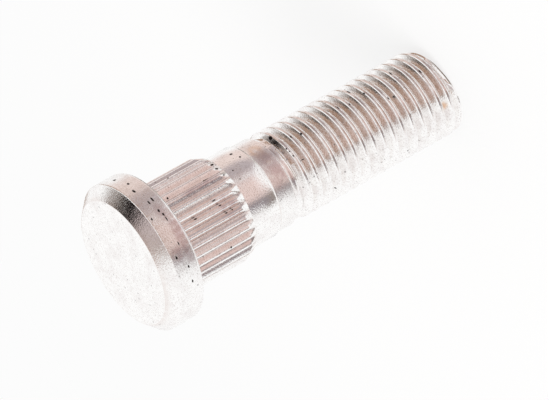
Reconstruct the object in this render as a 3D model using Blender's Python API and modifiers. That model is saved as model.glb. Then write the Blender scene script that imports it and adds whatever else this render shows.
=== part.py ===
"""Press-in wheel bolt, M12 x 1.5: a round head, a serrated shoulder, a plain neck and a rolled thread.

The bolt is headed, turned and rolled from one bar, so it is one solid. It stands on the end of its
thread with the head up: the origin is the middle of that end face and +Z runs up the axis.
"""

import math

import bmesh
import bpy
from mathutils import Matrix, Vector

MM = 0.001

# Head
HEAD_DIAMETER = 19.6 * MM
HEAD_THICKNESS = 4.9 * MM
HEAD_FACE_DIAMETER = 16.7 * MM
HEAD_BEVEL_HEIGHT = 1.45 * MM
HEAD_FACE_EDGE_RADIUS = 0.25 * MM
HEAD_RIM_EDGE_RADIUS = 0.3 * MM
HEAD_SEAT_EDGE_RADIUS = 0.5 * MM

# Serrated shoulder, pressed into the hub: a tapered lead at its lower end, its upper end rooted in the head
SERRATION_DIAMETER = 14.1 * MM
SERRATION_LENGTH = 10.25 * MM
SERRATION_COUNT = 34
SERRATION_GROOVE_DEPTH = 0.5 * MM
SERRATION_CREST_WIDTH = 0.28 * MM
SERRATION_LEAD_LENGTH = 1.1 * MM
SERRATION_LEAD_DIAMETER = 13.2 * MM
SERRATION_ROOTING = 1.2 * MM
SERRATION_TURN = math.radians(4.6)

# Plain neck, and the shank of the thread's own diameter below it
NECK_DIAMETER = 12.3 * MM
NECK_LENGTH = 4.12 * MM
SHANK_LENGTH = 2.68 * MM
SHANK_STEP_HEIGHT = 0.28 * MM

# Thread, M12 x 1.5, right-hand
THREAD_DIAMETER = 11.86 * MM
THREAD_PITCH = 1.5 * MM
THREAD_LENGTH = 26.25 * MM
THREAD_CREST_WIDTH = 0.3 * MM
THREAD_ROOT_WIDTH = 0.16 * MM
THREAD_FLANK_ANGLE = math.radians(30.0)
THREAD_LEAD_IN_TURNS = 2
THREAD_RUNOUT_TURNS = 0.5
THREAD_END_DIAMETER = 9.5 * MM
THREAD_END_CHAMFER = 1.1 * MM
THREAD_START_ANGLE = math.radians(83.6)

# Relief turned round the top of the thread, in which the groove runs out
RELIEF_DIAMETER = 10.7 * MM
RELIEF_STEP_HEIGHT = 0.3 * MM
RELIEF_FLOOR_HEIGHT = 0.75 * MM
RELIEF_SLOPE_HEIGHT = 0.75 * MM

# Facets
TURNED_STEPS = 56
THREAD_STEPS_PER_TURN = 28
EDGE_STEPS = 3
CUTTER_CLEARANCE = 0.12 * MM

STEEL_COLOUR = (0.62, 0.58, 0.57, 1.0)
STEEL_ROUGHNESS = 0.28
STEEL_METALLIC = 1.0

# Heights of the steps, up from the end of the thread
THREAD_TOP = THREAD_LENGTH
RELIEF_FLOOR_TOP = THREAD_TOP - RELIEF_STEP_HEIGHT
RELIEF_FLOOR_BOTTOM = RELIEF_FLOOR_TOP - RELIEF_FLOOR_HEIGHT
RELIEF_BOTTOM = RELIEF_FLOOR_BOTTOM - RELIEF_SLOPE_HEIGHT
NECK_BOTTOM = THREAD_TOP + SHANK_LENGTH
SERRATION_BOTTOM = NECK_BOTTOM + NECK_LENGTH
HEAD_SEAT = SERRATION_BOTTOM + SERRATION_LENGTH
HEAD_TOP = HEAD_SEAT + HEAD_THICKNESS


def clear_scene():
    """Remove whatever the file holds, so the part is alone in it."""
    for item in list(bpy.data.objects):
        bpy.data.objects.remove(item, do_unlink=True)


def new_collection(name):
    """Add a collection to the scene."""
    group = bpy.data.collections.new(name)
    bpy.context.scene.collection.children.link(group)
    return group


def steel_material():
    """Bright zinc-plated steel."""
    material = bpy.data.materials.new("zinc_plated_steel")
    material.use_nodes = True
    shader = material.node_tree.nodes["Principled BSDF"]
    shader.inputs["Base Color"].default_value = STEEL_COLOUR
    shader.inputs["Roughness"].default_value = STEEL_ROUGHNESS
    shader.inputs["Metallic"].default_value = STEEL_METALLIC
    return material


def rounded_corner(before, corner, after, radius, steps):
    """Points of an arc that replaces the corner between two straight runs of a profile."""
    corner = Vector(corner)
    towards = (Vector(before) - corner).normalized()
    away = (Vector(after) - corner).normalized()
    half = towards.angle(away) / 2.0
    reach = radius / math.tan(half)
    reach = min(reach, 0.45 * (Vector(before) - corner).length, 0.45 * (Vector(after) - corner).length)
    radius = reach * math.tan(half)
    centre = corner + (towards + away).normalized() * (radius / math.sin(half))
    first = (corner + towards * reach - centre).normalized()
    last = (corner + away * reach - centre).normalized()
    return [tuple(centre + first.slerp(last, i / steps) * radius) for i in range(steps + 1)]


def turned_object(name, profile, group, steps=TURNED_STEPS):
    """Turn a profile of (radius, height) points, listed from the top down, about the Z axis."""
    mesh = bpy.data.meshes.new(name)
    points = [(radius, 0.0, height) for radius, height in profile]
    mesh.from_pydata(points, [(i, i + 1) for i in range(len(points) - 1)], [])
    item = bpy.data.objects.new(name, mesh)
    group.objects.link(item)
    screw = item.modifiers.new("turn", "SCREW")
    screw.axis = "Z"
    screw.steps = screw.render_steps = steps
    screw.use_merge_vertices = True
    screw.merge_threshold = 0.000001
    return item


def boolean(item, cutter, operation):
    """Cut or join another solid, with the exact solver."""
    step = item.modifiers.new(operation.lower() + "_" + cutter.name, "BOOLEAN")
    step.operation = operation
    step.solver = "EXACT"
    step.object = cutter


def as_cutter(item):
    """Show a helper solid as a wire and leave it out of renders."""
    item.hide_render = True
    item.display_type = "WIRE"


def body_profile():
    """Outline of the turned blank, from the middle of the head's face down to the thread's end."""
    head_r = HEAD_DIAMETER / 2
    neck_r = NECK_DIAMETER / 2
    thread_r = THREAD_DIAMETER / 2
    relief_r = RELIEF_DIAMETER / 2
    centre_top = (0.0, HEAD_TOP)
    face_edge = (HEAD_FACE_DIAMETER / 2, HEAD_TOP)
    rim_edge = (head_r, HEAD_TOP - HEAD_BEVEL_HEIGHT)
    seat_edge = (head_r, HEAD_SEAT)
    seat_root = (neck_r, HEAD_SEAT)
    points = [centre_top]
    points += rounded_corner(centre_top, face_edge, rim_edge, HEAD_FACE_EDGE_RADIUS, EDGE_STEPS)
    points += rounded_corner(face_edge, rim_edge, seat_edge, HEAD_RIM_EDGE_RADIUS, EDGE_STEPS)
    points += rounded_corner(rim_edge, seat_edge, seat_root, HEAD_SEAT_EDGE_RADIUS, EDGE_STEPS)
    points.append(seat_root)
    points.append((neck_r, NECK_BOTTOM))
    points.append((thread_r, NECK_BOTTOM - SHANK_STEP_HEIGHT))
    points.append((thread_r, THREAD_TOP))
    points.append((relief_r, RELIEF_FLOOR_TOP))
    points.append((relief_r, RELIEF_FLOOR_BOTTOM))
    points.append((thread_r, RELIEF_BOTTOM))
    points.append((thread_r, THREAD_END_CHAMFER))
    points.append((THREAD_END_DIAMETER / 2, 0.0))
    points.append((0.0, 0.0))
    return points


def serration_outline():
    """Corners of the toothed section: flat crests with a V groove between each two."""
    crest_r = SERRATION_DIAMETER / 2
    root_r = crest_r - SERRATION_GROOVE_DEPTH
    half_crest = SERRATION_CREST_WIDTH / SERRATION_DIAMETER
    tooth = 2 * math.pi / SERRATION_COUNT
    corners = []
    for i in range(SERRATION_COUNT):
        middle = SERRATION_TURN + i * tooth
        for angle, radius in ((-half_crest, crest_r), (half_crest, crest_r), (tooth / 2, root_r)):
            corners.append((radius * math.cos(middle + angle), radius * math.sin(middle + angle)))
    return corners


def serrated_sleeve(group):
    """Toothed sleeve of the shoulder: the toothed outline drawn up to the head, with its lead cut."""
    outline = serration_outline()
    bottom = SERRATION_BOTTOM
    top = HEAD_SEAT + SERRATION_ROOTING
    curve = bpy.data.curves.new("serration_outline", "CURVE")
    curve.dimensions = "2D"
    curve.fill_mode = "BOTH"
    curve.extrude = (top - bottom) / 2
    spline = curve.splines.new("POLY")
    spline.points.add(len(outline) - 1)
    for point, (x, y) in zip(spline.points, outline):
        point.co = (x, y, 0.0, 1.0)
    spline.use_cyclic_u = True
    drawn = bpy.data.objects.new("serration_outline", curve)
    drawn.location = (0.0, 0.0, (top + bottom) / 2)
    group.objects.link(drawn)
    sleeve = curve_to_mesh_object(drawn, "serration_sleeve", group)

    crest_r = SERRATION_DIAMETER / 2
    lead_r = SERRATION_LEAD_DIAMETER / 2
    lead_slope = (crest_r - lead_r) / SERRATION_LEAD_LENGTH
    beyond = crest_r + HEAD_DIAMETER
    below = bottom - SERRATION_LEAD_LENGTH
    lead = turned_object(
        "serration_lead_cut",
        [
            (beyond, bottom + (beyond - lead_r) / lead_slope),
            (beyond, below),
            (lead_r - (bottom - below) * lead_slope, below),
        ],
        group,
    )
    close_turned_ring(lead)
    boolean(sleeve, lead, "DIFFERENCE")
    as_cutter(lead)
    as_cutter(sleeve)
    return sleeve


def curve_to_mesh_object(drawn, name, group):
    """Make a welded mesh object of a curve object and remove the curve."""
    graph = bpy.context.evaluated_depsgraph_get()
    mesh = bpy.data.meshes.new_from_object(drawn.evaluated_get(graph))
    work = bmesh.new()
    work.from_mesh(mesh)
    bmesh.ops.remove_doubles(work, verts=work.verts, dist=0.000001)
    bmesh.ops.recalc_face_normals(work, faces=work.faces)
    work.to_mesh(mesh)
    work.free()
    item = bpy.data.objects.new(name, mesh)
    item.matrix_world = Matrix.Translation(drawn.location)
    group.objects.link(item)
    bpy.data.objects.remove(drawn, do_unlink=True)
    return item


def close_turned_ring(item):
    """Join the last point of a turned profile to its first, so the ring is closed."""
    work = bmesh.new()
    work.from_mesh(item.data)
    work.verts.ensure_lookup_table()
    work.edges.new((work.verts[-1], work.verts[0]))
    work.to_mesh(item.data)
    work.free()


def groove_section():
    """Corners of the thread's groove at angle zero, as (radius, height from its middle)."""
    crest_r = THREAD_DIAMETER / 2
    slope = math.tan(THREAD_FLANK_ANGLE)
    half_top = (THREAD_PITCH - THREAD_CREST_WIDTH) / 2
    half_root = THREAD_ROOT_WIDTH / 2
    root_r = crest_r - (half_top - half_root) / slope
    outer_r = crest_r + CUTTER_CLEARANCE
    half_outer = half_top + CUTTER_CLEARANCE * slope
    return [(outer_r, half_outer), (root_r, half_root), (root_r, -half_root), (outer_r, -half_outer)]


def groove_depth():
    """Depth of the groove below the crest."""
    return THREAD_DIAMETER / 2 - groove_section()[1][0]


def thread_groove(group):
    """Helical cutter of the thread's groove.

    It starts below the bolt's end, so that the groove runs out through the end face, and climbs out
    of the bolt inside the relief at its top end.
    """
    section = groove_section()
    step_angle = 2 * math.pi / THREAD_STEPS_PER_TURN
    step_rise = THREAD_PITCH / THREAD_STEPS_PER_TURN
    start_height = -THREAD_LEAD_IN_TURNS * THREAD_PITCH
    full_steps = round((THREAD_TOP - THREAD_PITCH / 2 - start_height) / step_rise)
    runout_steps = max(2, round(THREAD_RUNOUT_TURNS * THREAD_STEPS_PER_TURN))
    full_steps -= runout_steps
    work = bmesh.new()
    turn_to_start = Matrix.Rotation(THREAD_START_ANGLE, 4, "Z")
    corners = [
        work.verts.new(turn_to_start @ Vector((radius, 0.0, start_height + height)))
        for radius, height in section
    ]
    face = work.faces.new(corners)
    climb = (groove_depth() + 2 * CUTTER_CLEARANCE) / runout_steps
    for index in range(full_steps + runout_steps):
        made = bmesh.ops.spin(
            work,
            geom=[face] + list(face.edges) + list(face.verts),
            cent=(0.0, 0.0, 0.0),
            axis=(0.0, 0.0, 1.0),
            dvec=(0.0, 0.0, step_rise),
            angle=step_angle,
            steps=1,
        )["geom_last"]
        face = next(part for part in made if isinstance(part, bmesh.types.BMFace))
        if index >= full_steps:
            for vert in face.verts:
                outward = Vector((vert.co.x, vert.co.y, 0.0)).normalized()
                vert.co += outward * climb
    bmesh.ops.recalc_face_normals(work, faces=work.faces)
    mesh = bpy.data.meshes.new("thread_groove_cut")
    work.to_mesh(mesh)
    work.free()
    cutter = bpy.data.objects.new("thread_groove_cut", mesh)
    group.objects.link(cutter)
    as_cutter(cutter)
    return cutter


def wheel_bolt(parts, cutters, material):
    """The whole bolt: the turned blank with its serrated sleeve joined and its thread cut."""
    bolt = turned_object("wheel_bolt", body_profile(), parts)
    boolean(bolt, serrated_sleeve(cutters), "UNION")
    boolean(bolt, thread_groove(cutters), "DIFFERENCE")
    bolt.data.materials.append(material)
    return bolt


def main():
    """Build the part."""
    clear_scene()
    parts = new_collection("wheel_bolt")
    cutters = new_collection("cutters")
    bolt = wheel_bolt(parts, cutters, steel_material())
    bolt.data.shade_smooth()
    bolt.data.set_sharp_from_angle(angle=math.radians(30.0))


main()
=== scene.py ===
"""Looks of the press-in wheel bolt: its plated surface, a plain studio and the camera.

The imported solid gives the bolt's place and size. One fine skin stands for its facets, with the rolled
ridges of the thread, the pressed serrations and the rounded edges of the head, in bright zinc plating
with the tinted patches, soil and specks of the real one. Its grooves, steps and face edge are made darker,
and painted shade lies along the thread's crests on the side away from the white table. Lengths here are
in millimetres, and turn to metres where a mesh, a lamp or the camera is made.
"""

import logging
import math
from dataclasses import dataclass, field
from enum import Enum

import bpy
import numpy as np
from mathutils import Matrix, Vector


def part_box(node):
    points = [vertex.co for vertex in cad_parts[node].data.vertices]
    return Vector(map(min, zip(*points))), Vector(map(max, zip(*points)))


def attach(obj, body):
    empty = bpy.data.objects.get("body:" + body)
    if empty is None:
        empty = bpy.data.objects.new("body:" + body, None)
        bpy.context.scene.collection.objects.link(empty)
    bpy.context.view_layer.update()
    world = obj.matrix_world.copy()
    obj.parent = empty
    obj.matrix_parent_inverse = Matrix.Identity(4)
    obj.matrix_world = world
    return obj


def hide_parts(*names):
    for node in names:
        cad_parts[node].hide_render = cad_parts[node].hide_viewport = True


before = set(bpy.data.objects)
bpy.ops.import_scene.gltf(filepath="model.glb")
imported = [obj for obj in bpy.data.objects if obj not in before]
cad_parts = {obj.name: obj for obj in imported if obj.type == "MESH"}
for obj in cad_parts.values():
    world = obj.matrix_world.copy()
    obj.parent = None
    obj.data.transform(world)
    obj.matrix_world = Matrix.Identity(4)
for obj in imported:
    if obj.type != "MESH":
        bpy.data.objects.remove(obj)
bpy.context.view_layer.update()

LOG = logging.getLogger("wheel_bolt")
METRE = 1000.0
NODE = "wheel_bolt"
SMOOTH = {"interpolation_type": "SMOOTHSTEP"}


def linear(hex_colour: str) -> tuple[float, float, float, float]:
    """Turn an sRGB hex colour into linear light.

    Args:
        hex_colour: a hash and six hex digits.

    Returns:
        Red, green and blue in linear light, and an alpha of one.
    """
    parts = [int(hex_colour[i : i + 2], 16) / 255.0 for i in (1, 3, 5)]
    light = [c / 12.92 if c <= 0.04045 else ((c + 0.055) / 1.055) ** 2.4 for c in parts]
    return light[0], light[1], light[2], 1.0


def add_node(
    tree: bpy.types.NodeTree,
    kind: str,
    settings: dict[str, object] | None = None,
    inputs: dict[str | int, object] | None = None,
) -> bpy.types.Node:
    """Add a shader node with its settings and links.

    Args:
        tree: the node tree that it goes in.
        kind: Blender's name of the node's type.
        settings: the node's own properties, by name.
        inputs: for each input socket, by name or place, a value or the output that feeds it.

    Returns:
        The new node.
    """
    node = tree.nodes.new(kind)
    for name, value in (settings or {}).items():
        setattr(node, name, value)
    for key, value in (inputs or {}).items():
        if isinstance(value, bpy.types.NodeSocket):
            tree.links.new(value, node.inputs[key])
        else:
            node.inputs[key].default_value = value
    return node


def smooth_step(low: float, high: float, value: np.ndarray | float) -> np.ndarray | float:
    """Rise smoothly from 0 to 1 as value goes from low to high."""
    share = np.clip((value - low) / (high - low), 0.0, 1.0)
    return share * share * (3.0 - 2.0 * share)


# The bolt's skin


@dataclass
class Skin:
    """A closed surface that grows ring by ring, from the head's face down to the thread's end."""

    points: list[tuple[float, float, float]] = field(default_factory=list)
    # How much each point is darkened, the painted shade on the thread's crests included
    dirt_and_shade: list[float] = field(default_factory=list)
    faces: list[tuple[int, ...]] = field(default_factory=list)

    def point(self, radius: float, angle: float, height: float, dirt_and_shade: float = 0.0) -> int:
        """Add one point.

        Args:
            radius: distance from the bolt's axis.
            angle: place round the axis, in radians.
            height: distance above the thread's end.
            dirt_and_shade: how much the plating is darkened there: soil, darker grooves and steps, and
                painted shade on the thread's crests.

        Returns:
            The point's number.
        """
        self.points.append((radius * math.cos(angle), radius * math.sin(angle), height))
        self.dirt_and_shade.append(dirt_and_shade)
        return len(self.points) - 1

    def ring(
        self, radii: np.ndarray | float, angles: np.ndarray, height: float, dirt_and_shade: np.ndarray | float = 0.0
    ) -> list[int]:
        """Add one level ring of points.

        Args:
            radii: one radius for all points, or one for each.
            angles: the points' places round the axis, in radians.
            height: the ring's height.
            dirt_and_shade: the darkening, for all points or for each.

        Returns:
            The numbers of the ring's points.
        """
        radii = np.broadcast_to(radii, angles.shape)
        dirt_and_shade = np.broadcast_to(dirt_and_shade, angles.shape)
        return [self.point(float(r), float(a), height, float(d)) for r, a, d in zip(radii, angles, dirt_and_shade)]

    def band(self, upper: list[int], lower: list[int]) -> None:
        """Join two rings with faces, where the upper one has as many points or twice as many.

        Args:
            upper: numbers of the upper ring's points.
            lower: numbers of the lower ring's points.
        """
        count = len(lower)
        double = len(upper) == 2 * count
        for i in range(count):
            after = (i + 1) % count
            if not double:
                self.faces.append((upper[i], lower[i], lower[after], upper[after]))
                continue
            self.faces.append((upper[2 * i], lower[i], upper[2 * i + 1]))
            self.faces.append((upper[2 * i + 1], lower[i], lower[after], upper[(2 * i + 2) % len(upper)]))

    def strip(self, left: list[int], right: list[int]) -> None:
        """Join two upright columns of points, listed upwards, leaving out faces that have no area.

        Args:
            left: numbers of the column at the smaller angle.
            right: numbers of the column at the larger angle.
        """
        for low in range(len(left) - 1):
            corners = (left[low], right[low], right[low + 1], left[low + 1])
            kept = tuple(dict.fromkeys(corners))
            if len(kept) > 2:
                self.faces.append(kept)

    def disc(self, ring: list[int], height: float, facing_up: bool) -> None:
        """Close a ring with a fan of faces to its middle.

        Args:
            ring: numbers of the ring's points.
            height: the middle's height.
            facing_up: whether the disc's face points up.
        """
        middle = self.point(0.0, 0.0, height)
        for i, first in enumerate(ring):
            second = ring[(i + 1) % len(ring)]
            self.faces.append((first, second, middle) if facing_up else (second, first, middle))

    def to_object(self, name: str, sharp_above: float) -> bpy.types.Object:
        """Make the surface a mesh object, in metres.

        Args:
            name: the object's name.
            sharp_above: edges that turn by more than this many degrees stay sharp.

        Returns:
            The object, linked to the scene.
        """
        mesh = bpy.data.meshes.new(name)
        mesh.from_pydata((np.array(self.points) / METRE).tolist(), [], self.faces)
        mesh.update()
        # How much each point is darkened: soil, darker grooves and steps, and painted shade on the thread's
        # crests
        grime_and_shade = mesh.attributes.new("dirt_and_shade", "FLOAT", "POINT")
        grime_and_shade.data.foreach_set("value", np.array(self.dirt_and_shade, np.float32))
        mesh.shade_smooth()
        mesh.set_sharp_from_angle(angle=math.radians(sharp_above))
        made = bpy.data.objects.new(name, mesh)
        bpy.context.scene.collection.objects.link(made)
        flats = made.modifiers.new("even_flats", "WEIGHTED_NORMAL")
        flats.mode = "FACE_AREA"
        flats.keep_sharp = True
        return made


def corner_arc(
    before: tuple[float, float],
    corner: tuple[float, float],
    after: tuple[float, float],
    radius: float,
    steps: int,
) -> list[tuple[float, float]]:
    """Round the corner between two straight runs of a profile.

    Args:
        before: a (radius, height) point on the run before the corner.
        corner: the sharp corner.
        after: a point on the run after it.
        radius: radius of the arc.
        steps: how many straight pieces the arc has.

    Returns:
        The arc's points.
    """
    sharp = Vector(corner)
    towards = (Vector(before) - sharp).normalized()
    away = (Vector(after) - sharp).normalized()
    half = towards.angle(away) / 2.0
    reach = radius / math.tan(half)
    centre = sharp + (towards + away).normalized() * (radius / math.sin(half))
    first = (sharp + towards * reach - centre).normalized()
    last = (sharp + away * reach - centre).normalized()
    return [tuple(centre + first.slerp(last, i / steps) * radius) for i in range(steps + 1)]


@dataclass
class Head:
    """The round cold-formed head: a flat face, a bevel, an upright rim and a flat seat.

    The face's edge is made a little darker.
    """

    top: float
    diameter: float
    thickness: float = 4.9
    face_diameter: float = 16.7
    bevel_height: float = 1.45
    face_edge_radius: float = 0.22
    rim_edge_radius: float = 0.28
    seat_edge_radius: float = 0.5
    edge_steps: int = 5
    edge_darkening: float = 0.42
    edge_darkening_reach: float = 0.073

    @property
    def seat(self) -> float:
        """Height of the seat."""
        return self.top - self.thickness

    def profile(self) -> list[tuple[float, float]]:
        """Trace the head's outline from the face to the seat.

        Returns:
            The outline's (radius, height) points.
        """
        rim = self.diameter / 2
        middle = (0.0, self.top)
        face_edge = (self.face_diameter / 2, self.top)
        bevel_end = (rim, self.top - self.bevel_height)
        seat_edge = (rim, self.seat)
        inner = (self.face_diameter / 2, self.seat)
        points = [(self.face_diameter / 4, self.top)]
        points += corner_arc(middle, face_edge, bevel_end, self.face_edge_radius, self.edge_steps)
        points += corner_arc(face_edge, bevel_end, seat_edge, self.rim_edge_radius, self.edge_steps)
        points += corner_arc(bevel_end, seat_edge, inner, self.seat_edge_radius, self.edge_steps)
        return points

    def build(self, skin: Skin, angles: np.ndarray) -> list[int]:
        """Add the head to the skin.

        Args:
            skin: the surface that grows.
            angles: places of its columns of points.

        Returns:
            The last ring, on the seat.
        """
        rings = []
        for radius, height in self.profile():
            # The face's edge is made a little darker
            from_edge = abs(radius - self.face_diameter / 2)
            on_edge = height > self.seat and from_edge < self.edge_darkening_reach
            rings.append(skin.ring(radius, angles, height, self.edge_darkening if on_edge else 0.0))
        skin.disc(rings[0], self.top, facing_up=True)
        for upper, lower in zip(rings, rings[1:]):
            skin.band(upper, lower)
        return rings[-1]


@dataclass
class SerratedShoulder:
    """The shoulder's pressed teeth: narrow flat crests with a right-angled groove between each two.

    The teeth taper to a lead at the lower end, where a small flat step goes down to the neck. The two
    slopes say how steeply a tooth falls over its broken edge and beside its root. Rows of points lie
    between first_row below the seat and the lead, and closer together on the lead itself.
    """

    top: float
    neck_radius: float
    diameter: float = 14.1
    length: float = 10.25
    teeth: int = 34
    crest_width: float = 0.28
    groove_depth: float = 0.5
    edge_width: float = 0.07
    edge_slope: float = 0.6
    root_margin: float = 0.05
    root_slope: float = 0.4
    lead_length: float = 1.1
    lead_diameter: float = 13.2
    step_fillet: float = 0.08
    seat_fillet: float = 0.12
    turn: float = math.radians(4.6)
    first_row: float = 1.5
    body_rows: int = 10
    lead_rows: int = 14
    lead_row_gaps: tuple[float, float] = (0.15, 0.06)
    # The grooves between the teeth are made darker
    groove_darkening: float = 0.5
    # The step down to the neck is made darker
    step_darkening: float = 0.8

    @property
    def bottom(self) -> float:
        """Height where the shoulder meets the neck."""
        return self.top - self.length

    @property
    def pitch(self) -> float:
        """Angle from one tooth to the next."""
        return 2 * math.pi / self.teeth

    def tooth(self) -> tuple[np.ndarray, np.ndarray]:
        """Give one tooth's outline, from its middle up to the next tooth.

        Returns:
            The angles from the tooth's middle, and the depth below the crest at each.
        """
        crest = self.diameter / 2
        half = self.pitch / 2
        land = (self.crest_width / 2 - self.edge_width / 2) / crest
        wall = (self.crest_width / 2 + self.edge_width / 2) / crest
        root = half - self.root_margin / crest
        wall_depth = self.edge_width * self.edge_slope
        root_depth = self.groove_depth - self.root_margin * self.root_slope
        side = [
            (0.0, 0.0),
            (land, 0.0),
            (wall, wall_depth),
            ((wall + root) / 2, (wall_depth + root_depth) / 2),
            (root, root_depth),
            (half, self.groove_depth),
        ]
        angles = [a for a, _ in side] + [self.pitch - a for a, _ in reversed(side[1:-1])]
        depths = [d for _, d in side] + [d for _, d in reversed(side[1:-1])]
        return np.array(angles), np.array(depths)

    def columns(self) -> tuple[np.ndarray, np.ndarray]:
        """Place the columns of points round the shoulder.

        Returns:
            The angle of every column, and the groove's depth there.
        """
        angles, depths = self.tooth()
        starts = self.turn + self.pitch * np.arange(self.teeth)
        return (starts[:, None] + angles[None, :]).ravel(), np.tile(depths, self.teeth)

    def build(self, skin: Skin, above: list[int]) -> list[int]:
        """Add the shoulder to the skin, from the seat down to the neck.

        Args:
            skin: the surface that grows.
            above: the ring on the seat.

        Returns:
            The last ring, where the shoulder meets the neck.
        """
        angles, depths = self.columns()
        crest = self.diameter / 2
        lead_end = self.lead_diameter / 2
        lead_top = self.bottom + self.lead_length
        heights = [self.top, self.top - self.seat_fillet, self.top - 2 * self.seat_fillet]
        above_lead, near_lead = self.lead_row_gaps
        heights += list(np.linspace(self.top - self.first_row, lead_top + above_lead, self.body_rows))
        heights += list(np.linspace(lead_top + near_lead, self.bottom, self.lead_rows))
        for height in heights:
            lead = lead_end + (crest - lead_end) * (height - self.bottom) / self.lead_length
            near_seat = max(0.0, 1.0 - (self.top - height) / (2 * self.seat_fillet))
            radii = np.minimum(crest - depths, lead) + self.seat_fillet * near_seat**2
            # The grooves between the teeth are made darker, and the seat's corner holds soil
            grime_and_shade = np.where(depths > self.edge_width, self.groove_darkening, 0.0)
            ring = skin.ring(radii, angles, float(height), np.maximum(grime_and_shade, near_seat))
            skin.band(above, ring)
            above = ring
        # The step down to the neck is made darker
        step = skin.ring(self.neck_radius + self.step_fillet, angles, self.bottom, self.step_darkening)
        skin.band(above, step)
        foot = skin.ring(self.neck_radius, angles, self.bottom - self.step_fillet, self.step_darkening)
        skin.band(step, foot)
        return foot


@dataclass
class Neck:
    """The plain neck, and the shank of the thread's own diameter below it."""

    top: float
    radius: float
    shank_radius: float
    length: float = 4.12
    shank_length: float = 2.68
    step_height: float = 0.28
    edge: float = 0.04
    # The step down to the shank is made darker
    step_darkening: float = 0.5

    @property
    def bottom(self) -> float:
        """Height where the thread takes over."""
        return self.top - self.length - self.shank_length

    def build(self, skin: Skin, angles: np.ndarray, above: list[int]) -> list[int]:
        """Add the neck and the shank to the skin.

        Args:
            skin: the surface that grows.
            angles: places of its columns of points.
            above: the ring where the shoulder ends.

        Returns:
            The shank's last ring, above the thread.
        """
        step_top = self.top - self.length
        step_bottom = step_top - self.step_height
        levels = [
            (self.radius, self.top - 4 * self.edge),
            (self.radius, (self.top + step_top) / 2),
            (self.radius, step_top + self.edge),
            (self.radius - self.edge / 2, step_top - self.edge / 2),
            (self.shank_radius + self.edge / 2, step_bottom + self.edge),
            (self.shank_radius, step_bottom - self.edge),
            (self.shank_radius, step_bottom - 3 * self.edge),
            (self.shank_radius, (step_bottom + self.bottom) / 2),
            (self.shank_radius, self.bottom + self.edge),
        ]
        for radius, height in levels:
            # The step down to the shank is made darker
            at_step = abs(height - step_bottom) < 2 * self.edge
            ring = skin.ring(radius, angles, height, self.step_darkening if at_step else 0.0)
            skin.band(above, ring)
            above = ring
        return above


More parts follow.
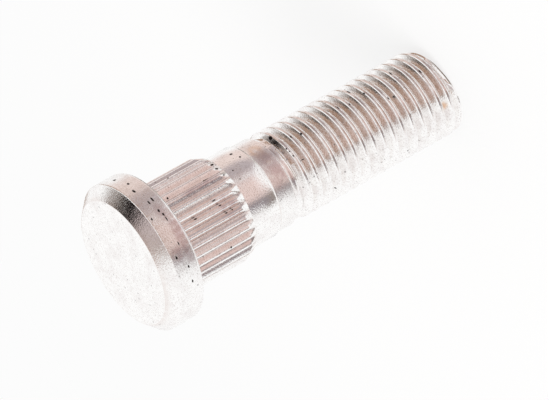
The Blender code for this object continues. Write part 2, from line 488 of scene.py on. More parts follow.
@dataclass
class RolledThread:
    """The rolled right-hand thread, with a shallow hollow along its crest and a narrow edge beside it.

    Its groove runs out in a relief turned round its top. On one side the rolling has left a lip on its end.
    The rows say where the points of an edge or a flank lie, as shares of its width. Each of the waves that
    make the surface waver has a strength, its run round the bolt and along it, and a phase.
    """

    radius: float
    length: float
    pitch: float = 1.5
    crest_half: float = 0.14
    crest_hollow: float = 0.012
    hollow_flat: float = 0.6
    edge_width: float = 0.12
    edge_slope: float = math.radians(26.0)
    edge_rows: tuple[float, ...] = (0.0, 0.1, 0.92, 1.0)
    flank_rows: tuple[float, ...] = (0.04, 0.92, 1.0)
    root_radius: float = 0.05
    flank_angle: float = math.radians(34.0)
    first_ridge: float = 1.61
    first_ridge_angle: float = math.radians(-70.0)
    runout_turns: float = 0.5
    relief_radius: float = 5.35
    relief_step: float = 0.3
    relief_floor: float = 0.75
    relief_slope: float = 0.75
    end_radius: float = 4.75
    end_inner_share: float = 0.9
    end_chamfer: float = 1.1
    lip_radius: float = 5.82
    lip_start: float = math.radians(-25.0)
    lip_full: float = math.radians(40.0)
    lip_fades: float = math.radians(140.0)
    lip_end: float = math.radians(175.0)
    waver: float = 0.012
    waver_fade: float = 1.0
    waves: tuple[tuple[float, ...], ...] = ((1.0, 3.1, 4.3, 0.0), (0.7, 7.0, -2.9, 1.3))
    hollow_share: float = 0.8
    # Painted shade in the crests' hollows, on the side of the bolt that faces away from the white table:
    # full within about 26 degrees of that side's middle and gone beyond about 70
    hollow_shade: float = 0.8
    # The grooves are made darker by their depth
    groove_darkening: float = 0.3
    end_grime: float = 0.3
    shade_towards: float = math.radians(-70.0)
    shade_from: float = 0.35
    shade_full: float = 0.9
    spare_turns: int = 3
    least_gap: float = 0.02

    def ridge_outline(self) -> tuple[np.ndarray, np.ndarray]:
        """Give the outline from one crest's middle up to the next.

        Returns:
            The heights above the crest's middle, and the depth below the crest at each.
        """
        half = self.pitch / 2
        cos, sin = math.cos(self.flank_angle), math.sin(self.flank_angle)
        root_touch = half - self.root_radius * cos
        side = [(0.0, self.crest_hollow), (self.crest_half * self.hollow_flat, self.crest_hollow)]
        for share in self.edge_rows:
            out = self.edge_width * share
            side.append((self.crest_half + out, out * math.tan(self.edge_slope)))
        touch, touch_depth = side[-1]
        for share in self.flank_rows:
            out = (root_touch - touch) * share
            side.append((touch + out, touch_depth + out * cos / sin))
        side.append((half, side[-1][1] + self.root_radius * (1.0 - sin)))
        heights = [x for x, _ in side] + [self.pitch - x for x, _ in reversed(side[1:-1])]
        depths = [d for _, d in side] + [d for _, d in reversed(side[1:-1])]
        return np.array(heights), np.array(depths)

    def ridge_height(self, angle: np.ndarray | float) -> np.ndarray | float:
        """Height of the first ridge's middle at an angle, for angles of the first turn."""
        return self.first_ridge + self.pitch * (angle - self.first_ridge_angle) / (2 * math.pi)

    def depth(self, height: np.ndarray, angle: np.ndarray) -> np.ndarray:
        """Depth of the surface below the crest.

        Args:
            height: heights above the thread's end.
            angle: places round the axis, in radians.

        Returns:
            The depth at each, before the end's chamfer.
        """
        rows, depths = self.ridge_outline()
        above_ridge = np.mod(height - self.ridge_height(angle), self.pitch)
        cut = np.interp(above_ridge, np.append(rows, self.pitch), np.append(depths, depths[0]))
        groove = height - above_ridge + self.pitch / 2
        top = self.length - self.pitch / 2
        fade = 1.0 - smooth_step(top - self.runout_turns * self.pitch, top, groove)
        on_crest = cut <= self.crest_hollow
        hollow_fade = 1.0 - smooth_step(self.length - 2 * self.pitch, self.length - self.pitch, height)
        return cut * np.where(on_crest, hollow_fade, fade)

    def in_hollow(self, height: np.ndarray, angle: float) -> np.ndarray:
        """Tell which heights lie in the crest's hollow.

        Args:
            height: heights above the thread's end.
            angle: the place round the axis, in radians.

        Returns:
            True for each height that lies in it.
        """
        half = self.pitch / 2
        from_ridge = np.mod(height - self.ridge_height(angle) + half, self.pitch) - half
        return np.abs(from_ridge) < self.crest_half * self.hollow_share

    def surface_radius(self, height: np.ndarray, angle: np.ndarray) -> np.ndarray:
        """Radius of the surface, with the relief at the top and the chamfered end with its lip.

        Args:
            height: heights above the thread's end.
            angle: places round the axis, in radians.

        Returns:
            The radius at each.
        """
        front = -math.pi / 2
        round_lip = np.mod(front - angle + math.pi / 2, 2 * math.pi) - math.pi / 2
        lip = smooth_step(self.lip_start, self.lip_full, round_lip)
        lip = lip * (1.0 - smooth_step(self.lip_fades, self.lip_end, round_lip))
        end = self.end_radius + (self.lip_radius - self.end_radius) * lip
        limit = end + (self.radius - end) * np.clip(height / self.end_chamfer, 0.0, 1.0)
        relief = np.interp(
            self.length - height,
            np.cumsum([0.0, self.relief_step, self.relief_floor, self.relief_slope]),
            [self.radius, self.relief_radius, self.relief_radius, self.radius],
        )
        swing = sum(
            strength * np.sin(around * angle + along * height + phase)
            for strength, around, along, phase in self.waves
        )
        waver = self.waver * np.abs(swing) * smooth_step(0.0, self.waver_fade, self.length - height)
        return np.minimum(np.minimum(self.radius - self.depth(height, angle), relief) - waver, limit)

    def build(self, skin: Skin, angles: np.ndarray, above: list[int]) -> None:
        """Add the thread and its end face to the skin.

        Rows of points follow the helix. Those that would pass the top or the end share that ring's points.

        Args:
            skin: the surface that grows.
            angles: places of its columns of points.
            above: the shank's last ring.
        """
        heights, depths = self.ridge_outline()
        deepest = depths.max()
        per_turn = len(heights)
        turns = np.arange(-self.spare_turns, math.ceil(self.length / self.pitch) + self.spare_turns + 1)
        offsets = (self.pitch * turns[:, None] + heights[None, :]).ravel()
        top = skin.ring(self.radius, angles, self.length)
        skin.band(above, top)
        end_radii = self.surface_radius(np.zeros_like(angles), angles)
        end = skin.ring(end_radii, angles, 0.0, self.end_grime)
        turned = np.mod(angles - self.first_ridge_angle, 2 * math.pi)
        columns: list[list[int]] = []
        for column, angle in enumerate(angles):
            row_heights = self.first_ridge + self.pitch * turned[column] / (2 * math.pi) + offsets
            radii = self.surface_radius(row_heights, np.full_like(row_heights, angle))
            # The grooves are made darker by their depth
            grime_and_shade = self.groove_darkening * (self.radius - radii) / deepest
            # Painted shade in the crests' hollows, on the side that faces away from the white table
            facing = math.cos(angle - self.shade_towards)
            soiled_and_shaded = smooth_step(self.shade_from, self.shade_full, facing)
            grime_and_shade = np.where(self.in_hollow(row_heights, angle), self.hollow_shade * soiled_and_shaded, grime_and_shade)
            ids = []
            for height, radius, share in zip(row_heights, radii, grime_and_shade):
                if height < self.least_gap:
                    ids.append(end[column])
                elif height > self.length - self.least_gap:
                    ids.append(top[column])
                else:
                    ids.append(skin.point(float(radius), float(angle), float(height), float(share)))
            columns.append(ids)
        count = len(columns)
        for column in range(count):
            left = columns[column]
            right = columns[(column + 1) % count]
            if turned[(column + 1) % count] < turned[column]:
                right = right[per_turn:] + [right[-1]] * per_turn
            skin.strip(left, right)
        inner = skin.ring(self.end_radius * self.end_inner_share, angles, 0.0)
        skin.band(end, inner)
        skin.disc(inner, 0.0, facing_up=False)


# The plating


@dataclass(frozen=True)
class Mark:
    """A speck or a tinted patch, an ellipse on the unrolled surface.

    Its height is above the thread's end, its angle is round the axis in degrees, and across and along are
    half its size round the bolt and along it.
    """

    height: float
    angle: float
    across: float
    along: float


# A distance, in a mark's own sizes, that is outside every mark
FAR = 100.0

# Large specks, placed where the photo shows them: on the thread, the shoulder, the neck and the rim
SPECKS = (
    Mark(24.6, -39, 0.42, 0.20),
    Mark(26.1, -47, 0.50, 0.09),
    Mark(26.1, -62, 0.40, 0.07),
    Mark(22.7, -55, 0.17, 0.13),
    Mark(21.35, -58, 0.19, 0.15),
    Mark(24.3, -66, 0.14, 0.08),
    Mark(24.2, -71, 0.13, 0.08),
    Mark(24.15, -78, 0.15, 0.11),
    Mark(23.5, -87, 0.12, 0.11),
    Mark(23.65, -116, 0.11, 0.10),
    Mark(19.0, -135, 0.12, 0.11),
    Mark(19.8, -149, 0.13, 0.11),
    Mark(16.05, -39, 0.20, 0.12),
    Mark(15.0, -51, 0.32, 0.12),
    Mark(13.5, -55, 0.18, 0.13),
    Mark(12.1, -36, 0.42, 0.13),
    Mark(10.9, -51, 0.15, 0.11),
    Mark(8.8, -73, 0.26, 0.18),
    Mark(8.7, -149, 0.13, 0.11),
    Mark(6.1, -44, 0.36, 0.12),
    Mark(3.0, -63, 0.30, 0.12),
    Mark(37.7, -24, 0.22, 0.26),
    Mark(39.6, -25, 0.16, 0.20),
    Mark(36.2, -22, 0.15, 0.15),
    Mark(38.2, -33, 0.12, 0.34),
    Mark(36.1, -45, 0.15, 0.17),
    Mark(35.5, -45, 0.11, 0.14),
    Mark(35.8, -54, 0.08, 0.48),
    Mark(40.1, -87, 0.08, 0.28),
    Mark(36.4, -87, 0.08, 0.20),
    Mark(36.1, -97, 0.07, 0.18),
    Mark(35.2, -97, 0.08, 0.12),
    Mark(37.1, -132, 0.10, 0.14),
    Mark(33.6, -41, 0.10, 0.25),
    Mark(33.7, -50, 0.12, 0.22),
    Mark(33.6, -61, 0.08, 0.15),
    Mark(39.0, -27, 0.12, 0.16),
    Mark(36.9, -80, 0.07, 0.30),
    Mark(41.3, -52, 0.09, 0.12),
    Mark(30.2, -34, 0.20, 0.20),
    Mark(29.8, -46, 0.16, 0.14),
    Mark(31.9, -58, 0.10, 0.10),
    Mark(45.5, -46, 0.20, 0.16),
    Mark(44.6, -60, 0.24, 0.13),
    Mark(45.2, -61, 0.20, 0.12),
    Mark(44.9, -70, 0.15, 0.14),
    Mark(44.7, -74, 0.13, 0.12),
    Mark(44.7, -78, 0.20, 0.08),
    Mark(46.3, -73, 0.10, 0.12),
    Mark(45.1, -36, 0.14, 0.16),
    Mark(45.4, -21, 0.16, 0.20),
    Mark(45.0, -97, 0.17, 0.08),
    Mark(46.0, -105, 0.16, 0.14),
    Mark(44.9, -115, 0.13, 0.10),
    Mark(44.9, -127, 0.14, 0.12),
)

# Greyish patches on the rim, the shoulder and the shank
DUSKY_PATCHES = (
    Mark(44.2, -92, 2.6, 0.9),
    Mark(44.8, -72, 0.9, 0.8),
    Mark(45.6, -103, 0.7, 1.0),
    Mark(37.0, -60, 0.7, 3.4),
    Mark(27.4, -78, 3.0, 1.5),
    Mark(35.5, -92, 1.5, 1.6),
)

# Yellowish stains on the shank and near the thread's end
WARM_STAINS = (
    Mark(27.6, -50, 1.5, 1.1),
    Mark(27.3, -62, 1.3, 0.8),
    Mark(2.3, -118, 0.7, 0.5),
)


@dataclass(frozen=True)
class Patches:
    """Soft patches of one size, in millimetres.

    A noise from 0 to 1 shapes them: a patch starts at one of its values and is full at another.
    """

    size: float
    starts: float
    full: float
    detail: float = 3.0

    def spread(
        self,
        tree: bpy.types.NodeTree,
        place: bpy.types.NodeSocket,
        values: tuple[float, float] = (0.0, 1.0),
    ) -> bpy.types.NodeSocket:
        """Spread the patches over the surface.

        Args:
            tree: the material's nodes.
            place: place on the bolt.
            values: the value outside the patches and in them.

        Returns:
            The value.
        """
        inputs = {"Vector": place, "Scale": METRE / self.size, "Detail": self.detail}
        noise = add_node(tree, "ShaderNodeTexNoise", inputs=inputs)
        outside, inside = values
        inputs = {
            "Value": noise.outputs["Fac"],
            "From Min": self.starts,
            "From Max": self.full,
            "To Min": outside,
            "To Max": inside,
        }
        return add_node(tree, "ShaderNodeMapRange", SMOOTH, inputs).outputs["Result"]


@dataclass(frozen=True)
class ZincPlating:
    """Bright zinc plating over cold-formed steel, from a barrel bath.

    It gives the eye a pale silver mirror that is never quite even: fine grain, soft tinted patches, darker
    grooves and steps, some soil, painted shade along the thread's crests and dark specks where the plating
    is pitted. The real grain is about 0.05 mm, too fine to show, so it is drawn over three times as coarse.
    The head's rim and the shank are a little duller, and the bevel, which the forming left rough, has a
    deeper grain.
    """

    light: str = "#fefdfc"
    dull: str = "#f6f3f2"
    # The film's colour, for soil and for the painted shade on the thread's crests
    soiled_and_shaded: str = "#efe8e5"
    dusky: str = "#dccfd0"
    grain: str = "#cdc3bf"
    warm: str = "#f0d6c0"
    # The crust's colour, for soil and for the painted shade on the thread's crests
    grime_and_shade: str = "#8d7f7a"
    speck: str = "#2c2422"
    roughness: float = 0.13
    dull_roughness: float = 0.24
    band_roughness: float = 0.1
    speck_roughness: float = 0.4
    dull_bands: tuple[tuple[float, float], ...] = ((26.3, 28.6), (43.3, 46.8))
    bevel_band: tuple[float, float] = (46.8, 48.2)
    band_fade_below: float = 0.2
    band_fade_inside: float = 0.1
    grain_size: float = 0.17
    grain_detail: float = 2.0
    grain_height: float = 0.018
    bevel_grain_height: float = 0.034
    swell_size: float = 1.7
    swell_detail: float = 1.0
    swell_height: float = 0.006
    grain_spots: Patches = Patches(size=0.204, starts=0.5, full=0.75, detail=1.0)
    grain_share: float = 0.5
    pale_patches: Patches = Patches(size=2.4, starts=0.42, full=0.72)
    matt_patches: Patches = Patches(size=1.68, starts=0.4, full=0.75)
    streaks: Patches = Patches(size=0.8, starts=0.2, full=0.65)
    # Patches of the darkening, which hold soil and the painted shade on the thread's crests
    film: Patches = Patches(size=0.9, starts=0.3, full=0.55)
    film_values: tuple[float, float] = (0.4, 1.0)
    film_levels: tuple[float, float] = (0.2, 0.5)
    crust: Patches = Patches(size=0.9, starts=0.3, full=0.7)
    crust_values: tuple[float, float] = (0.0, 0.8)
    crust_levels: tuple[float, float] = (0.62, 1.0)
    warm_edge: tuple[float, float] = (1.25, 0.3)
    dusky_edge: tuple[float, float] = (1.2, 0.5)
    speck_edge: tuple[float, float] = (1.25, 0.6)
    ragged_size: float = 0.22
    ragged_reach: float = 0.05
    pit_spacing: float = 0.66
    pit_radius: float = 0.13
    pit_edge: float = 0.03
    pit_share: float = 0.5
    pit_strength: float = 0.42
    unrolled_radius: float = 6.0

    def material(self) -> bpy.types.Material:
        """Make the material.

        Returns:
            The material, which reads how much the skin's points are darkened, by soil and by painted shade.
        """
        made = bpy.data.materials.new("bright_zinc_plated_steel")
        made.use_nodes = True
        tree = made.node_tree
        tree.nodes.clear()
        place = add_node(tree, "ShaderNodeTexCoord").outputs["Object"]
        unrolled = self.unrolled(tree, place)
        specks = self.specks(tree, place, unrolled)
        inputs = {
            "Base Color": self.colour(tree, place, unrolled, specks),
            "Metallic": 1.0,
            "Roughness": self.sheen(tree, place, specks),
            "Normal": self.relief(tree, place),
        }
        shader = add_node(tree, "ShaderNodeBsdfPrincipled", inputs=inputs)
        add_node(tree, "ShaderNodeOutputMaterial", inputs={"Surface": shader.outputs["BSDF"]})
        return made

    def unrolled(self, tree: bpy.types.NodeTree, place: bpy.types.NodeSocket) -> bpy.types.NodeSocket:
        """Unroll the surface, with its places moved a little so that marks get ragged edges.

        Args:
            tree: the material's nodes.
            place: place on the bolt.

        Returns:
            The place in millimetres, round the bolt and along it.
        """
        parts = add_node(tree, "ShaderNodeSeparateXYZ", inputs={"Vector": place}).outputs
        angle = add_node(tree, "ShaderNodeMath", {"operation": "ARCTAN2"}, {0: parts["Y"], 1: parts["X"]})
        inputs = {"X": angle.outputs["Value"], "Y": parts["Z"]}
        flat = add_node(tree, "ShaderNodeCombineXYZ", inputs=inputs)
        inputs = {"Vector": place, "Scale": METRE / self.ragged_size, "Detail": 1.0}
        ragged = add_node(tree, "ShaderNodeTexNoise", inputs=inputs)
        inputs = {0: ragged.outputs["Color"], 1: (0.5, 0.5, 0.5)}
        centred = add_node(tree, "ShaderNodeVectorMath", {"operation": "SUBTRACT"}, inputs)
        inputs = {0: centred.outputs["Vector"], 1: (2 * self.ragged_reach, 2 * self.ragged_reach, 0.0)}
        shift = add_node(tree, "ShaderNodeVectorMath", {"operation": "MULTIPLY"}, inputs)
        to_millimetres = (self.unrolled_radius, METRE, 0.0)
        inputs = {0: flat.outputs["Vector"], 1: to_millimetres, 2: shift.outputs["Vector"]}
        moved = add_node(tree, "ShaderNodeVectorMath", {"operation": "MULTIPLY_ADD"}, inputs)
        return moved.outputs["Vector"]

    def marked(
        self,
        tree: bpy.types.NodeTree,
        unrolled: bpy.types.NodeSocket,
        marks: tuple[Mark, ...],
        edge: tuple[float, float],
        strength: bpy.types.NodeSocket | float = 1.0,
    ) -> bpy.types.NodeSocket:
        """Tell where the surface lies in one of the marks.

        Args:
            tree: the material's nodes.
            unrolled: place on the unrolled surface.
            marks: the marks.
            edge: where a mark fades out and where it is full, as shares of its own size.
            strength: the value in a mark.

        Returns:
            The strength in a mark and 0 outside.
        """
        least: bpy.types.NodeSocket | float = FAR
        for mark in marks:
            inputs = {
                "Vector": unrolled,
                "Location": (math.radians(mark.angle) * self.unrolled_radius, mark.height, 0.0),
                "Scale": (mark.across, mark.along, 1.0),
            }
            away = add_node(tree, "ShaderNodeMapping", {"vector_type": "TEXTURE"}, inputs)
            inputs = {0: away.outputs["Vector"]}
            length = add_node(tree, "ShaderNodeVectorMath", {"operation": "LENGTH"}, inputs)
            inputs = {0: length.outputs["Value"], 1: least}
            least = add_node(tree, "ShaderNodeMath", {"operation": "MINIMUM"}, inputs).outputs["Value"]
        fades, full = edge
        inputs = {"Value": least, "From Min": fades, "From Max": full, "To Max": strength}
        return add_node(tree, "ShaderNodeMapRange", SMOOTH, inputs).outputs["Result"]

    def specks(
        self, tree: bpy.types.NodeTree, place: bpy.types.NodeSocket, unrolled: bpy.types.NodeSocket
    ) -> bpy.types.NodeSocket:
        """Mark the pits in the plating: the large ones by hand, and fine ones scattered at random.

        Args:
            tree: the material's nodes.
            place: place on the bolt.
            unrolled: place on the unrolled surface.

        Returns:
            How strongly a pit shows, and 0 outside.
        """
        inputs = {"Vector": place, "Scale": METRE / self.pit_spacing}
        cells = add_node(tree, "ShaderNodeTexVoronoi", inputs=inputs)
        chance = add_node(tree, "ShaderNodeSeparateColor", inputs={"Color": cells.outputs["Color"]})
        inputs = {
            "Value": chance.outputs["Red"],
            "From Min": 1.0 - self.pit_share,
            "From Max": 1.0,
            "To Max": self.pit_radius / self.pit_spacing,
        }
        radius = add_node(tree, "ShaderNodeMapRange", SMOOTH, inputs).outputs["Result"]
        inputs = {0: radius, 1: cells.outputs["Distance"]}
        inside = add_node(tree, "ShaderNodeMath", {"operation": "SUBTRACT"}, inputs).outputs["Value"]
        inputs = {"Value": inside, "From Min": 0.0, "From Max": self.pit_edge, "To Max": self.pit_strength}
        fine = add_node(tree, "ShaderNodeMapRange", SMOOTH, inputs).outputs["Result"]
        large = self.marked(tree, unrolled, SPECKS, self.speck_edge)
        either = add_node(tree, "ShaderNodeMath", {"operation": "MAXIMUM"}, {0: large, 1: fine})
        return either.outputs["Value"]

    def soiling_and_shade(self, tree: bpy.types.NodeTree, place: bpy.types.NodeSocket) -> list[bpy.types.NodeSocket]:
        """Tell where the plating darkens, from soil, darker grooves and steps and painted shade on the
        thread's crests: as a thin film where there is some, and as a crust where there is much.

        Args:
            tree: the material's nodes.
            place: place on the bolt.

        Returns:
            The film's share and the crust's share.
        """
        # The skin's darkening, which holds the painted shade on the thread's crests too
        dirt_and_shade = add_node(tree, "ShaderNodeAttribute", {"attribute_name": "dirt_and_shade"}).outputs["Fac"]
        shares = []
        for patches, values, (least, most) in (
            (self.film, self.film_values, self.film_levels),
            (self.crust, self.crust_values, self.crust_levels),
        ):
            strength = patches.spread(tree, place, values)
            inputs = {"Value": dirt_and_shade, "From Min": least, "From Max": most, "To Max": strength}
            shares.append(add_node(tree, "ShaderNodeMapRange", SMOOTH, inputs).outputs["Result"])
        return shares

    def colour(
        self,
        tree: bpy.types.NodeTree,
        place: bpy.types.NodeSocket,
        unrolled: bpy.types.NodeSocket,
        specks: bpy.types.NodeSocket,
    ) -> bpy.types.NodeSocket:
        """Lay the colours over each other: plating, patches, stains, grain, the darkening by soil and
        painted shade, and specks.

        Args:
            tree: the material's nodes.
            place: place on the bolt.
            unrolled: place on the unrolled surface.
            specks: where the specks are.

        Returns:
            The colour.
        """
        streaks = self.streaks.spread(tree, place)
        film, crust = self.soiling_and_shade(tree, place)
        layers = (
            (self.pale_patches.spread(tree, place), self.dull),
            (self.marked(tree, unrolled, WARM_STAINS, self.warm_edge, streaks), self.warm),
            (self.marked(tree, unrolled, DUSKY_PATCHES, self.dusky_edge, streaks), self.dusky),
            (self.grain_spots.spread(tree, place, (0.0, self.grain_share)), self.grain),
            # The film and the crust carry the painted shade on the thread's crests as well as the soil
            (film, self.soiled_and_shaded),
            (crust, self.grime_and_shade),
            (specks, self.speck),
        )
        colour: bpy.types.NodeSocket | tuple[float, ...] = linear(self.light)
        for share, over in layers:
            inputs = {0: share, 6: colour, 7: linear(over)}
            colour = add_node(tree, "ShaderNodeMix", {"data_type": "RGBA"}, inputs).outputs[2]
        return colour

    def within_band(
        self,
        tree: bpy.types.NodeTree,
        place: bpy.types.NodeSocket,
        band: tuple[float, float],
        values: tuple[float, float],
    ) -> bpy.types.NodeSocket:
        """Tell a band of the bolt's height from the rest.

        Args:
            tree: the material's nodes.
            place: place on the bolt.
            band: heights of the band's bottom and top.
            values: the value outside the band and in it.

        Returns:
            The value.
        """
        bottom, top = band
        outside, inside = values
        inputs = {
            "Value": add_node(tree, "ShaderNodeSeparateXYZ", inputs={"Vector": place}).outputs["Z"],
            "From Min": (bottom - self.band_fade_below) / METRE,
            "From Max": bottom / METRE,
            "To Min": outside,
            "To Max": inside,
        }
        above = add_node(tree, "ShaderNodeMapRange", SMOOTH, inputs).outputs["Result"]
        full = (top - self.band_fade_inside) / METRE
        inputs |= {"From Min": top / METRE, "From Max": full, "To Max": above}
        return add_node(tree, "ShaderNodeMapRange", SMOOTH, inputs).outputs["Result"]

    def sheen(
        self, tree: bpy.types.NodeTree, place: bpy.types.NodeSocket, specks: bpy.types.NodeSocket
    ) -> bpy.types.NodeSocket:
        """Give the roughness: smooth, duller in patches, on the shank and the rim, and matt in a speck.

        Args:
            tree: the material's nodes.
            place: place on the bolt.
            specks: where the specks are.

        Returns:
            The roughness.
        """
        rough = self.matt_patches.spread(tree, place, (self.roughness, self.dull_roughness))
        for band in self.dull_bands:
            duller = self.within_band(tree, place, band, (0.0, self.band_roughness))
            inputs = {0: rough, 1: duller}
            rough = add_node(tree, "ShaderNodeMath", {"operation": "ADD"}, inputs).outputs["Value"]
        inputs = {0: specks, 1: self.speck_roughness, 2: rough}
        return add_node(tree, "ShaderNodeMath", {"operation": "MULTIPLY_ADD"}, inputs).outputs["Value"]

    def relief(self, tree: bpy.types.NodeTree, place: bpy.types.NodeSocket) -> bpy.types.NodeSocket:
        """Give the surface its soft swells and its grain.

        Args:
            tree: the material's nodes.
            place: place on the bolt.

        Returns:
            The bent normal.
        """
        grain_heights = (self.grain_height / METRE, self.bevel_grain_height / METRE)
        grain = self.within_band(tree, place, self.bevel_band, grain_heights)
        normal = None
        for size, height, detail in (
            (self.swell_size, self.swell_height / METRE, self.swell_detail),
            (self.grain_size, grain, self.grain_detail),
        ):
            inputs = {"Vector": place, "Scale": METRE / size, "Detail": detail}
            noise = add_node(tree, "ShaderNodeTexNoise", inputs=inputs)
            inputs = {"Height": noise.outputs["Fac"], "Distance": height}
            if normal:
                inputs["Normal"] = normal
            normal = add_node(tree, "ShaderNodeBump", inputs=inputs).outputs["Normal"]
        return normal


@dataclass
class WheelBolt:
    """The whole bolt: one steel piece, from the face of its head to the end of its thread."""

    height: float
    head_diameter: float
    neck_diameter: float = 12.3
    thread_diameter: float = 11.86
    sharp_above: float = 50.0

    def build(self) -> bpy.types.Object:
        """Make the bolt's skin.

        Returns:
            The object, in place and without its finish.
        """
        skin = Skin()
        neck_radius = self.neck_diameter / 2
        thread_radius = self.thread_diameter / 2
        head = Head(top=self.height, diameter=self.head_diameter)
        shoulder = SerratedShoulder(top=head.seat, neck_radius=neck_radius)
        neck = Neck(top=shoulder.bottom, radius=neck_radius, shank_radius=thread_radius)
        thread = RolledThread(radius=thread_radius, length=neck.bottom)
        fine, _ = shoulder.columns()
        coarse = fine[::2]
        ring = head.build(skin, fine)
        ring = shoulder.build(skin, ring)
        ring = neck.build(skin, fine, ring)
        thread.build(skin, coarse, ring)
        return skin.to_object("zinc_plated_bolt", self.sharp_above)

    def dress(self, bolt: bpy.types.Object, plating: ZincPlating) -> None:
        """Give the bolt its finish and its place in the frame.

        Args:
            bolt: the bolt's object.
            plating: its finish.
        """
        bolt.data.materials.append(plating.material())
        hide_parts(NODE)
        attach(bolt, "root")


# The studio


class Falloff(Enum):
    """How softly a thing in the studio ends, in degrees, as the plating mirrors it."""

    CRISP = 4.0
    SOFT = 14.0
    WIDE = 26.0


@dataclass(frozen=True)
class Mirrored:
    """Something round the bolt that its plating mirrors: a direction, a half width in degrees and a colour.

    With a hole it is a ring, whose hole has that half width.
    """

    direction: tuple[float, float, float]
    half_width: float
    falloff: Falloff
    colour: str
    hole: float = 0.0

    def cone(self, half_width: float) -> dict[str, float]:
        """Bound a cone round the direction, with its soft edge.

        Args:
            half_width: half the cone's width, in degrees.

        Returns:
            The cosines at which the cone starts and is full, under the sockets' names.
        """
        soft_half = self.falloff.value / 2
        outer = math.cos(math.radians(half_width + soft_half))
        inner = math.cos(math.radians(max(0.0, half_width - soft_half)))
        return {"From Min": outer, "From Max": inner}

    def share(self, tree: bpy.types.NodeTree, direction: bpy.types.NodeSocket) -> bpy.types.NodeSocket:
        """Tell which directions point at the thing.

        Args:
            tree: the world's nodes.
            direction: the direction that a ray goes.

        Returns:
            1 where it points at the thing and 0 elsewhere.
        """
        inputs = {0: direction, 1: tuple(Vector(self.direction).normalized())}
        towards = add_node(tree, "ShaderNodeVectorMath", {"operation": "DOT_PRODUCT"}, inputs)
        inputs = {"Value": towards.outputs["Value"]} | self.cone(self.half_width)
        whole = add_node(tree, "ShaderNodeMapRange", SMOOTH, inputs).outputs["Result"]
        if not self.hole:
            return whole
        inputs |= self.cone(self.hole)
        hole = add_node(tree, "ShaderNodeMapRange", SMOOTH, inputs).outputs["Result"]
        ring = add_node(tree, "ShaderNodeMath", {"operation": "SUBTRACT"}, {0: whole, 1: hole})
        return ring.outputs["Value"]


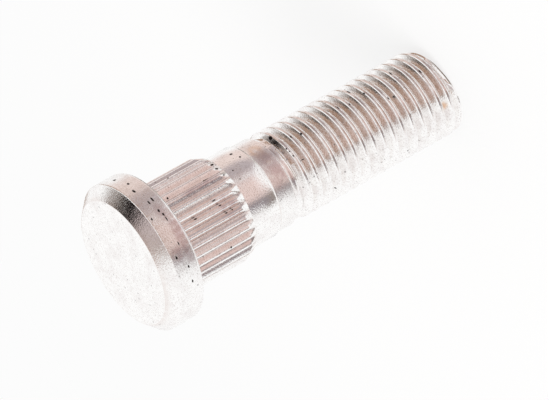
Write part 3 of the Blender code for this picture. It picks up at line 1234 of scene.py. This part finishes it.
@dataclass(frozen=True)
class Studio:
    """A plain white room with soft light, as even on a matt surface as on the floor.

    The plating mirrors a white table on one side and a dim pinkish room on the other. table_up is the
    direction square to that table, and levels gives the colours from straight at the table, at -1, past
    its edge, at 0, to straight away from it, at 1. The things lie in front of these, each over the ones
    before it.
    """

    table_up: tuple[float, float, float] = (0.519, -0.850, 0.091)
    levels: tuple[tuple[float, str], ...] = (
        (-1.0, "#fbfafa"),
        (-0.80, "#fefefe"),
        (-0.60, "#ffffff"),
        (-0.02, "#ffffff"),
        (0.03, "#8f847d"),
        (0.32, "#a3978e"),
        (0.60, "#c6b7b7"),
        (1.0, "#d6c8c8"),
    )
    things: tuple[Mirrored, ...] = (
        # What the upright round sides mirror, from +X round to -X: a wide pale wall, a dim corner, a
        # second pale wall, which the teeth's grooves mirror too, and a dark strip beside the table
        Mirrored((0.90, 0.15, -0.44), 24.0, Falloff.WIDE, "#eddcd6"),
        Mirrored((0.81, -0.39, -0.44), 15.0, Falloff.SOFT, "#b7acae"),
        Mirrored((0.05, -0.90, -0.44), 22.0, Falloff.SOFT, "#e8d2cd"),
        Mirrored((-0.54, -0.72, -0.44), 9.5, Falloff.SOFT, "#938a8f"),
        # A brown band all round, at the level and a little below it, which the thread's flanks mirror
        Mirrored((0.0, 0.0, 1.0), 109.0, Falloff.CRISP, "#a58672", hole=85.0),
        # A narrow lamp between the two walls
        Mirrored((0.53, -0.73, -0.44), 3.5, Falloff.CRISP, "#ffffff"),
        # A white band above the brown one, for the bright lines along the crests' upper edges
        Mirrored((0.0, 0.0, 1.0), 86.0, Falloff.CRISP, "#ffffff", hole=60.0),
        # A dull place that the bevel's far end mirrors, and the white one beyond it
        Mirrored((0.76, 0.38, 0.53), 11.0, Falloff.SOFT, "#9c928c"),
        Mirrored((0.45, 0.89, 0.03), 20.0, Falloff.CRISP, "#ffffff"),
        # The white table, which covers the brown band on its own side
        Mirrored((-0.78, -0.62, -0.05), 24.0, Falloff.CRISP, "#ffffff"),
        Mirrored((-1.0, -0.05, -0.05), 34.0, Falloff.CRISP, "#ffffff"),
        Mirrored((-0.60, 0.80, -0.05), 40.0, Falloff.CRISP, "#ffffff"),
        # A white card below, for the lines along the crests' lower edges, and two brown places beside
        # it, which the chamfer at the thread's end mirrors
        Mirrored((0.15, -0.40, -0.90), 30.0, Falloff.CRISP, "#ffffff"),
        Mirrored((0.10, 0.28, -0.95), 17.0, Falloff.CRISP, "#8f8278"),
        Mirrored((0.25, 0.55, -0.80), 17.0, Falloff.CRISP, "#8f8278"),
        # What the head mirrors from above: a pink place, a white card and, in the bevel, a dark place
        Mirrored((-0.10, -0.06, 0.99), 13.0, Falloff.SOFT, "#cdb9b0"),
        Mirrored((-0.62, -0.25, 0.74), 24.0, Falloff.SOFT, "#ffffff"),
        Mirrored((0.68, -0.05, 0.73), 17.5, Falloff.CRISP, "#100808"),
    )
    even_light: float = 0.86
    key_power: float = 2.4
    key_size: float = 420.0
    key_place: tuple[float, float, float] = (-260.0, -330.0, 620.0)
    floor_size: float = 6000.0
    floor_colour: str = "#f3f2f1"
    backdrop: str = "#fcfcfc"
    floor_glow: float = 0.75
    glow_from: float = 25.0
    glow_full: float = 150.0

    def build(self) -> None:
        """Make the room's light, the key lamp and the floor."""
        self.room()
        self.key_lamp()
        self.floor()

    def room(self) -> None:
        """Light the room evenly, show it white, and give the plating its surroundings to mirror."""
        world = bpy.data.worlds.new("white_studio")
        bpy.context.scene.world = world
        world.use_nodes = True
        tree = world.node_tree
        tree.nodes.clear()
        direction = add_node(tree, "ShaderNodeTexCoord").outputs["Generated"]
        mirrored = self.surroundings(tree, direction)
        path = add_node(tree, "ShaderNodeLightPath").outputs
        inputs = {"Color": linear("#ffffff"), "Strength": self.even_light}
        plain = add_node(tree, "ShaderNodeBackground", inputs=inputs)
        inputs = {"Color": linear(self.backdrop), "Strength": 1.0}
        seen = add_node(tree, "ShaderNodeBackground", inputs=inputs)
        inputs = {"Color": mirrored, "Strength": 1.0}
        glossy = add_node(tree, "ShaderNodeBackground", inputs=inputs)
        inputs = {0: path["Is Glossy Ray"], 1: plain.outputs[0], 2: glossy.outputs[0]}
        lit = add_node(tree, "ShaderNodeMixShader", inputs=inputs)
        inputs = {0: path["Is Camera Ray"], 1: lit.outputs[0], 2: seen.outputs[0]}
        shown = add_node(tree, "ShaderNodeMixShader", inputs=inputs)
        add_node(tree, "ShaderNodeOutputWorld", inputs={"Surface": shown.outputs[0]})

    def surroundings(
        self, tree: bpy.types.NodeTree, direction: bpy.types.NodeSocket
    ) -> bpy.types.NodeSocket:
        """Colour each direction as the table, the room or a thing in it shows there.

        Args:
            tree: the world's nodes.
            direction: the direction that a ray goes.

        Returns:
            The colour.
        """
        inputs = {0: direction, 1: tuple(Vector(self.table_up).normalized())}
        up = add_node(tree, "ShaderNodeVectorMath", {"operation": "DOT_PRODUCT"}, inputs)
        inputs = {"Value": up.outputs["Value"], "From Min": -1.0, "From Max": 1.0}
        level = add_node(tree, "ShaderNodeMapRange", inputs=inputs)
        ramp = add_node(tree, "ShaderNodeValToRGB", inputs={"Fac": level.outputs["Result"]})
        stops = ramp.color_ramp.elements
        while len(stops) < len(self.levels):
            stops.new(0.5)
        for stop, (height, colour) in zip(stops, self.levels):
            stop.position = (height + 1.0) / 2.0
            stop.color = linear(colour)
        shown = ramp.outputs["Color"]
        for thing in self.things:
            inputs = {0: thing.share(tree, direction), 6: shown, 7: linear(thing.colour)}
            shown = add_node(tree, "ShaderNodeMix", {"data_type": "RGBA"}, inputs).outputs[2]
        return shown

    def key_lamp(self) -> None:
        """Hang a large soft lamp that gives the floor its faint shadow and doesn't show in the plating."""
        lamp = bpy.data.lights.new("soft_key", "AREA")
        lamp.shape = "DISK"
        lamp.size = self.key_size / METRE
        lamp.energy = self.key_power
        hung = bpy.data.objects.new("soft_key", lamp)
        hung.location = Vector(self.key_place) / METRE
        hung.rotation_euler = (-hung.location).to_track_quat("-Z", "Y").to_euler()
        hung.visible_glossy = False
        bpy.context.scene.collection.objects.link(hung)

    def floor(self) -> None:
        """Lay a plain white floor that keeps the bolt's shadow and turns into the white room far off."""
        half = self.floor_size / 2 / METRE
        corners = [(-half, -half, 0), (half, -half, 0), (half, half, 0), (-half, half, 0)]
        mesh = bpy.data.meshes.new("floor")
        mesh.from_pydata(corners, [], [(0, 1, 2, 3)])
        mesh.materials.append(self.floor_paint())
        floor = bpy.data.objects.new("floor", mesh)
        floor.visible_glossy = False
        bpy.context.scene.collection.objects.link(floor)

    def floor_paint(self) -> bpy.types.Material:
        """Make the floor's matt white paint, which glows for the camera, and fully so far off.

        Returns:
            The paint's material.
        """
        material = bpy.data.materials.new("matt_white_floor")
        material.use_nodes = True
        tree = material.node_tree
        tree.nodes.clear()
        place = add_node(tree, "ShaderNodeTexCoord").outputs["Object"]
        away = add_node(tree, "ShaderNodeVectorMath", {"operation": "LENGTH"}, {0: place})
        inputs = {
            "Value": away.outputs["Value"],
            "From Min": self.glow_from / METRE,
            "From Max": self.glow_full / METRE,
            "To Min": self.floor_glow,
            "To Max": 1.0,
        }
        share = add_node(tree, "ShaderNodeMapRange", SMOOTH, inputs)
        path = add_node(tree, "ShaderNodeLightPath")
        inputs = {0: share.outputs["Result"], 1: path.outputs["Is Camera Ray"]}
        seen = add_node(tree, "ShaderNodeMath", {"operation": "MULTIPLY"}, inputs)
        matt = add_node(tree, "ShaderNodeBsdfDiffuse", inputs={"Color": linear(self.floor_colour)})
        inputs = {"Color": linear(self.backdrop), "Strength": 1.0}
        glow = add_node(tree, "ShaderNodeEmission", inputs=inputs)
        inputs = {0: seen.outputs[0], 1: matt.outputs[0], 2: glow.outputs[0]}
        both = add_node(tree, "ShaderNodeMixShader", inputs=inputs)
        add_node(tree, "ShaderNodeOutputMaterial", inputs={"Surface": both.outputs[0]})
        return material


@dataclass(frozen=True)
class PhotoCamera:
    """The photograph's camera: a long lens that looks down on the head, rolled so that the bolt slants.

    It looks at aim from a distance in millimetres. Its azimuth, elevation and roll are in degrees.
    """

    aim: tuple[float, float, float] = (-2.327, -0.011, 26.451)
    distance: float = 557.24
    azimuth: float = 0.27
    elevation: float = 25.91
    roll: float = -119.41
    lens: float = 299.5
    sensor: float = 36.0

    def build(self) -> None:
        """Make the camera and look through it."""
        azimuth, elevation = math.radians(self.azimuth), math.radians(self.elevation)
        back = Vector(
            (
                math.sin(azimuth) * math.cos(elevation),
                -math.cos(azimuth) * math.cos(elevation),
                math.sin(elevation),
            )
        )
        data = bpy.data.cameras.new("photo_camera")
        data.lens = self.lens
        data.sensor_width = self.sensor
        camera = bpy.data.objects.new("photo_camera", data)
        place = (Vector(self.aim) + back * self.distance) / METRE
        level = (-back).to_track_quat("-Z", "Y").to_matrix().to_4x4()
        turned = Matrix.Rotation(math.radians(self.roll), 4, "Z")
        camera.matrix_world = Matrix.Translation(place) @ level @ turned
        bpy.context.scene.collection.objects.link(camera)
        bpy.context.scene.camera = camera


def main() -> None:
    """Build the camera, the studio and the bolt."""
    logging.basicConfig(level=logging.INFO, format="%(name)s: %(message)s")
    bpy.context.scene.view_settings.view_transform = "Standard"
    PhotoCamera().build()
    Studio().build()
    low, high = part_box(NODE)
    bolt = WheelBolt(height=high.z * METRE, head_diameter=(high.x - low.x) * METRE)
    skin = bolt.build()
    bolt.dress(skin, ZincPlating())
    LOG.info("%s has %d faces over %.1f mm", skin.name, len(skin.data.polygons), bolt.height)


if __name__ == "__main__":
    main()
